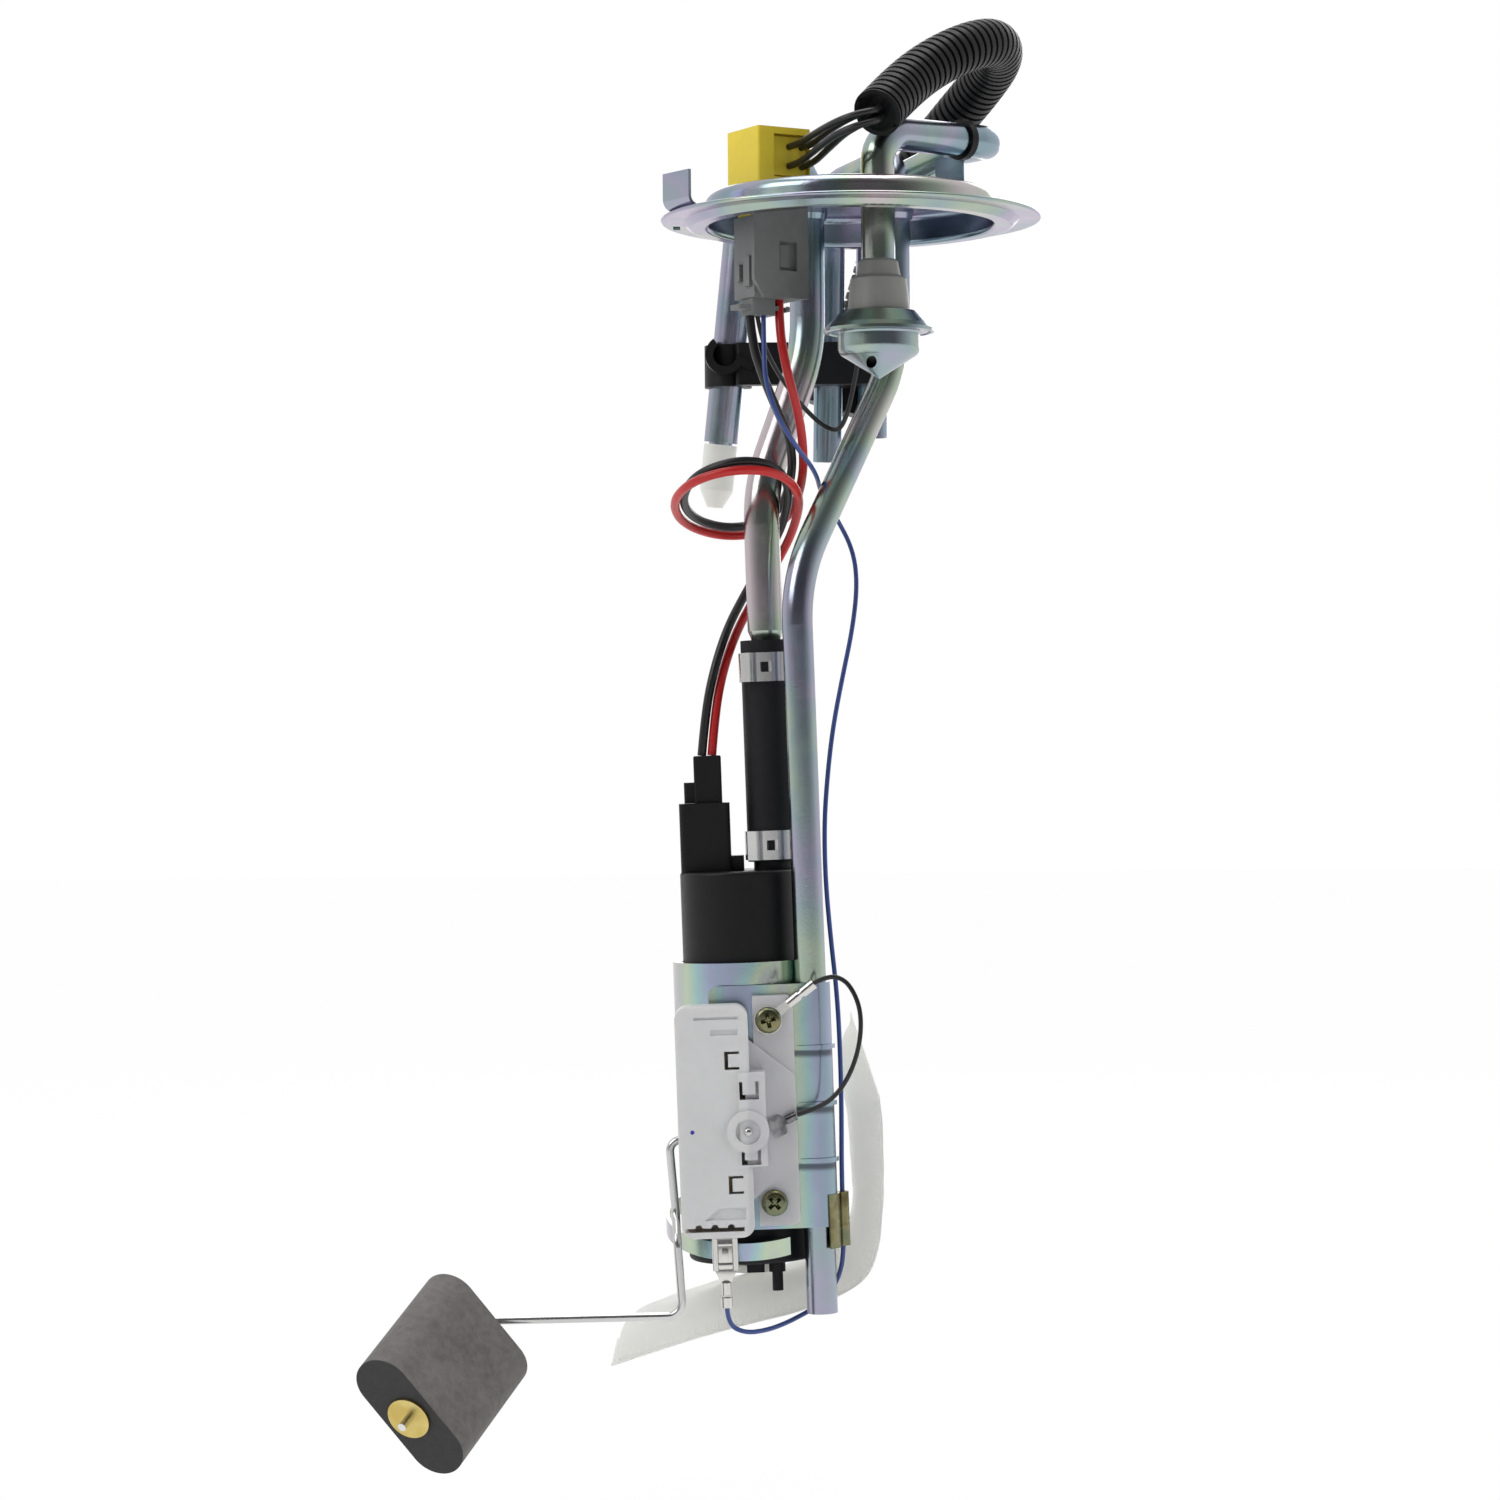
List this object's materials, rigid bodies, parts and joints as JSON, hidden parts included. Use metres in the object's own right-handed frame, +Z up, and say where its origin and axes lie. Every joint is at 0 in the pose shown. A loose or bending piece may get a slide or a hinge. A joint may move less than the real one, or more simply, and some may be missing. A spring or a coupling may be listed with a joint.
{
  "type": "fuel pump module",
  "caption": "In-tank fuel pump module: round flange with bent tubes, hung pump in a sleeve, strainer sock, level sender with a float on a swinging arm, and a wiring harness.",
  "frame": {"origin": "centre of the tank flange's sealing face (its under side)", "axes": "+Z up, away from the tank; +X to the right and +Y to the back as seen from the sender's side"},
  "size_m": [0.213, 0.1629, 0.45],
  "materials": {
    "zinc": "satin",
    "steel": "satin",
    "chromate": "satin",
    "yellow_plastic": "matte",
    "grey_plastic": "matte",
    "white_plastic": "satin",
    "black_plastic": "matte",
    "brown_plastic": "matte",
    "rubber": "matte",
    "green_rubber": "matte",
    "float_foam": "matte",
    "tinned": "satin",
    "copper": "satin",
    "mesh": "matte",
    "wire_red": "gloss",
    "wire_black": "gloss",
    "wire_blue": "gloss"
  },
  "bodies": {
    "module": {"body_plate": "white_plastic", "bracket_plate": "zinc", "bracket_sleeve": "zinc", "brushes": "black_plastic", "cable_tie": "black_plastic", "connector_body": "yellow_plastic", "connector_pins": "tinned", "flange_plate": "zinc", "fuel_hose": "rubber", "ground_contact": "tinned", "harness_connector": "black_plastic", "harness_seal": "green_rubber", "harness_wires": "wire_black", "hose_clamp_lower": "steel", "hose_clamp_upper": "steel", "index_tab": "zinc", "inlet_cover": "white_plastic", "isolator": "rubber", "loom": "black_plastic", "lower_strap": "zinc", "magnets": "black_plastic", "pump_cap": "black_plastic", "pump_cushion": "rubber", "pump_plug": "black_plastic", "pump_shell": "steel", "resistor_card": "brown_plastic", "return_tube": "zinc", "ring_terminal": "tinned", "sender_body": "white_plastic", "sender_cover": "white_plastic", "sender_screws": "chromate", "sender_terminal": "tinned", "strainer_bag": "mesh", "strainer_neck": "white_plastic", "supply_tube": "zinc", "tank_connector": "grey_plastic", "tank_lock": "grey_plastic", "tube_cap": "white_plastic", "tube_clip": "black_plastic", "valve_body": "white_plastic", "valve_disc": "zinc", "valve_hood": "zinc", "vent_support": "zinc", "vent_tube": "zinc", "wire_black": "wire_black", "wire_blue": "wire_blue", "wire_case_ground": "wire_black", "wire_clip": "chromate", "wire_ground": "wire_black", "wire_red": "wire_red"},
    "float_arm": {"float_arm": "steel", "wiper": "tinned", "float_washer": "chromate"},
    "float": {"float": "float_foam"},
    "rotor": {"armature": "copper", "impeller": "brown_plastic"},
    "valve_float": {"valve_float": "white_plastic"},
    "check_valve": {"check_valve": "white_plastic"}
  },
  "joints": [
    {"name": "arm_pivot", "type": "hinge", "parent": "module", "child": "float_arm", "pos_m": [-0.03487, 0.002, -0.28399], "axis": [0, 1, 0], "range_deg": [0, 76]},
    {"name": "float_spin", "type": "hinge", "parent": "float_arm", "child": "float", "pos_m": [-0.1198, -0.021, -0.345], "axis": [-0.3673, -0.8233, -0.4328], "continuous": true},
    {"name": "rotor_spin", "type": "hinge", "parent": "module", "child": "rotor", "pos_m": [-0.036, 0.014, -0.24], "axis": [-0.0279, 0, 0.9996], "continuous": true},
    {"name": "valve_float_slide", "type": "slide", "parent": "module", "child": "valve_float", "axis": [0, 0, 1], "range_m": [0, 0.0014]},
    {"name": "check_valve_slide", "type": "slide", "parent": "module", "child": "check_valve", "axis": [-0.0279, 0, 0.9996], "range_m": [0, 0.002]}
  ]
}
